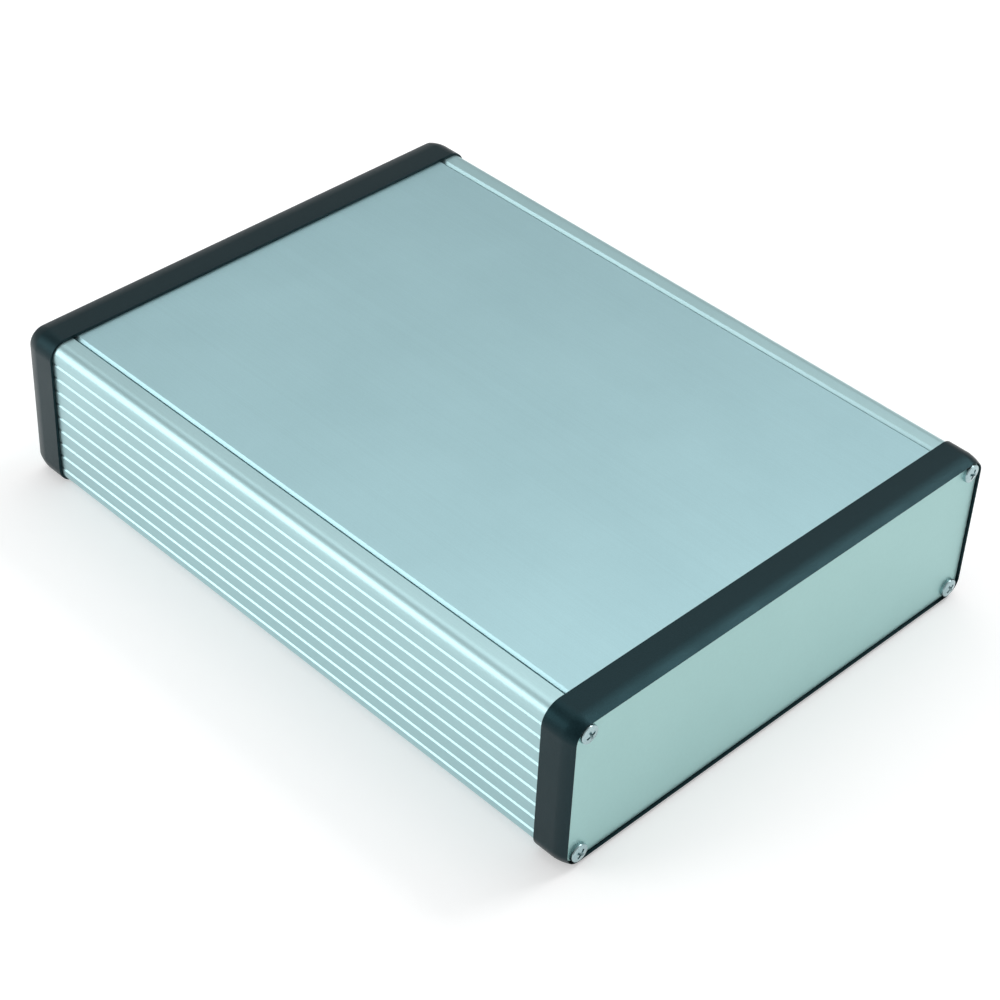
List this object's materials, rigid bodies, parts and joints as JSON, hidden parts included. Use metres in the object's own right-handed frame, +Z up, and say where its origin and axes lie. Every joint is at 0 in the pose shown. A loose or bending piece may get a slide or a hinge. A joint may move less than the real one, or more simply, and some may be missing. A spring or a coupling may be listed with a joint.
{
  "type": "extruded aluminium enclosure",
  "caption": "Low instrument enclosure: grooved extruded aluminium channel, slide-in top cover, black plastic end bezels and flat aluminium end panels held by screws.",
  "frame": {"origin": "middle of the footprint, on the surface that the undersides of the bezels stand on", "axes": "+X to the right when facing the front panel, +Y along the extrusion towards the rear panel, +Z up through the top cover"},
  "size_m": [0.165, 0.2236, 0.0515],
  "materials": {
    "anodised_body": "natural satin anodised extrusion",
    "anodised_cover": "natural satin anodised extrusion with a fine lengthwise grain",
    "panel_sheet": "natural satin anodised sheet",
    "black_plastic": "moulded black plastic with a fine grain",
    "zinc_plate": "bright zinc plated steel"
  },
  "bodies": {
    "body": {"body_extrusion": "anodised_body"},
    "cover": {"top_cover": "anodised_cover"},
    "front_end": {"front_bezel": "black_plastic", "front_panel": "panel_sheet", "front_screws": "zinc_plate"},
    "rear_end": {"rear_bezel": "black_plastic", "rear_panel": "panel_sheet", "rear_screws": "zinc_plate"}
  },
  "joints": [
    {"name": "front_end_off", "type": "slide", "parent": "body", "child": "front_end", "axis": [0, -1, 0], "range_m": [0, 0.26]},
    {"name": "cover_slide", "type": "slide", "parent": "body", "child": "cover", "axis": [0, -1, 0], "range_m": [0, 0.208]},
    {"name": "rear_end_off", "type": "slide", "parent": "body", "child": "rear_end", "axis": [0, 1, 0], "range_m": [0, 0.03]}
  ],
  "couplings": [
    {"joint": "cover_slide", "follows": "front_end_off", "ratio": 0.8}
  ]
}
